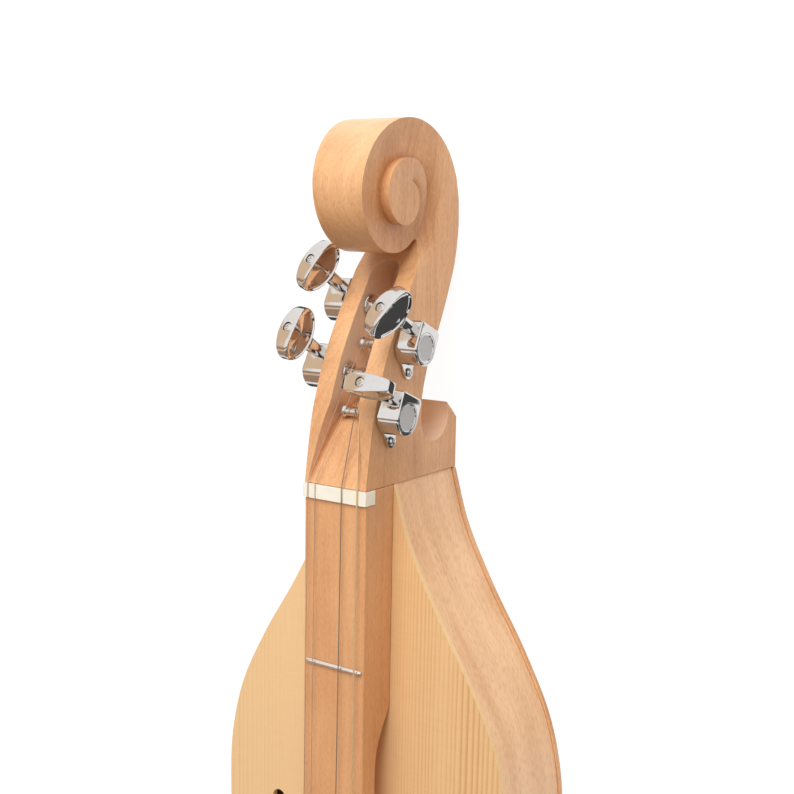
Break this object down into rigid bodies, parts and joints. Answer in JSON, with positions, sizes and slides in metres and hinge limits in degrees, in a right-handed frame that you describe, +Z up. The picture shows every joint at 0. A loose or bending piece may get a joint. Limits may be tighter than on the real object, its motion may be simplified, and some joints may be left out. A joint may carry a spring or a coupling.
{
  "type": "mountain dulcimer",
  "caption": "Fretted lap zither with a carved scroll head, side-mounted worm-gear tuners, a raised arched fretboard and a slender hollow body with f-shaped sound holes.",
  "frame": {"origin": "centre of the bounding box in X and Y, on the back plate's outer face in Z", "axes": "+X from the scroll head to the tail, +Y to the bass side, +Z up out of the soundboard"},
  "size_m": [0.9275, 0.1912, 0.0881],
  "materials": {
    "hardwood": "satin oiled cherry-like hardwood, fine straight grain",
    "spruce": "satin lacquered straight-grained spruce",
    "board_wood": "satin lacquered hardwood, more orange",
    "inner_wood": "bare sawn softwood",
    "bone": "ivory white, polished",
    "chrome": "polished",
    "cap_grey": "satin face, bright rim",
    "fret_silver": "nickel silver, polished crown",
    "gear_brass": "machined",
    "string_steel": "plain steel wire",
    "string_bronze": "bronze wound"
  },
  "bodies": {
    "instrument": {"back_plate": "hardwood", "soundboard": "spruce", "rib_bass": "hardwood", "rib_melody": "hardwood", "tail_block": "inner_wood", "pegbox_scroll": "hardwood", "fretboard": "board_wood", "fret_01": "fret_silver", "fret_02": "fret_silver", "fret_03": "fret_silver", "fret_04": "fret_silver", "fret_05": "fret_silver", "fret_06": "fret_silver", "fret_07": "fret_silver", "fret_08": "fret_silver", "fret_09": "fret_silver", "fret_10": "fret_silver", "fret_11": "fret_silver", "fret_12": "fret_silver", "fret_13": "fret_silver", "fret_14": "fret_silver", "nut": "bone", "bridge": "bone", "hitch_plate": "chrome", "string_melody_outer": "string_steel", "string_melody_inner": "string_steel", "string_middle": "string_steel", "string_bass": "string_bronze", "tuner_melody_outer_housing": "chrome", "tuner_melody_outer_cap": "cap_grey", "tuner_melody_outer_bushing": "chrome", "tuner_melody_outer_mounting_screw": "chrome", "tuner_melody_inner_housing": "chrome", "tuner_melody_inner_cap": "cap_grey", "tuner_melody_inner_bushing": "chrome", "tuner_melody_inner_mounting_screw": "chrome", "tuner_middle_housing": "chrome", "tuner_middle_cap": "cap_grey", "tuner_middle_bushing": "chrome", "tuner_middle_mounting_screw": "chrome", "tuner_bass_housing": "chrome", "tuner_bass_cap": "cap_grey", "tuner_bass_bushing": "chrome", "tuner_bass_mounting_screw": "chrome"},
    "post_melody_outer": {"tuner_melody_outer_post": "chrome"},
    "shaft_melody_outer": {"tuner_melody_outer_worm_shaft": "gear_brass", "tuner_melody_outer_button": "chrome", "tuner_melody_outer_button_screw": "chrome"},
    "post_melody_inner": {"tuner_melody_inner_post": "chrome"},
    "shaft_melody_inner": {"tuner_melody_inner_worm_shaft": "gear_brass", "tuner_melody_inner_button": "chrome", "tuner_melody_inner_button_screw": "chrome"},
    "post_middle": {"tuner_middle_post": "chrome"},
    "shaft_middle": {"tuner_middle_worm_shaft": "gear_brass", "tuner_middle_button": "chrome", "tuner_middle_button_screw": "chrome"},
    "post_bass": {"tuner_bass_post": "chrome"},
    "shaft_bass": {"tuner_bass_worm_shaft": "gear_brass", "tuner_bass_button": "chrome", "tuner_bass_button_screw": "chrome"}
  },
  "joints": [
    {"name": "shaft_turn_melody_outer", "type": "hinge", "parent": "instrument", "child": "shaft_melody_outer", "pos_m": [-0.38682, -0.0222, 0.03549], "axis": [-0.4848, 0, 0.8746], "continuous": true},
    {"name": "post_turn_melody_outer", "type": "hinge", "parent": "instrument", "child": "post_melody_outer", "pos_m": [-0.3814, -0.0166, 0.0385], "axis": [0, 1, 0], "continuous": true},
    {"name": "shaft_turn_melody_inner", "type": "hinge", "parent": "instrument", "child": "shaft_melody_inner", "pos_m": [-0.35782, -0.0222, 0.05099], "axis": [-0.4848, 0, 0.8746], "continuous": true},
    {"name": "post_turn_melody_inner", "type": "hinge", "parent": "instrument", "child": "post_melody_inner", "pos_m": [-0.3524, -0.0166, 0.054], "axis": [0, 1, 0], "continuous": true},
    {"name": "shaft_turn_middle", "type": "hinge", "parent": "instrument", "child": "shaft_middle", "pos_m": [-0.37086, 0.0222, 0.04348], "axis": [-0.4067, 0, 0.9135], "continuous": true},
    {"name": "post_turn_middle", "type": "hinge", "parent": "instrument", "child": "post_middle", "pos_m": [-0.3652, 0.0166, 0.046], "axis": [0, 1, 0], "continuous": true},
    {"name": "shaft_turn_bass", "type": "hinge", "parent": "instrument", "child": "shaft_bass", "pos_m": [-0.34195, 0.0222, 0.05668], "axis": [-0.3746, 0, 0.9272], "continuous": true},
    {"name": "post_turn_bass", "type": "hinge", "parent": "instrument", "child": "post_bass", "pos_m": [-0.3362, 0.0166, 0.059], "axis": [0, 1, 0], "continuous": true}
  ],
  "couplings": [
    {"joint": "post_turn_melody_outer", "follows": "shaft_turn_melody_outer", "ratio": -0.066667},
    {"joint": "post_turn_melody_inner", "follows": "shaft_turn_melody_inner", "ratio": -0.066667},
    {"joint": "post_turn_middle", "follows": "shaft_turn_middle", "ratio": 0.066667},
    {"joint": "post_turn_bass", "follows": "shaft_turn_bass", "ratio": 0.066667}
  ]
}
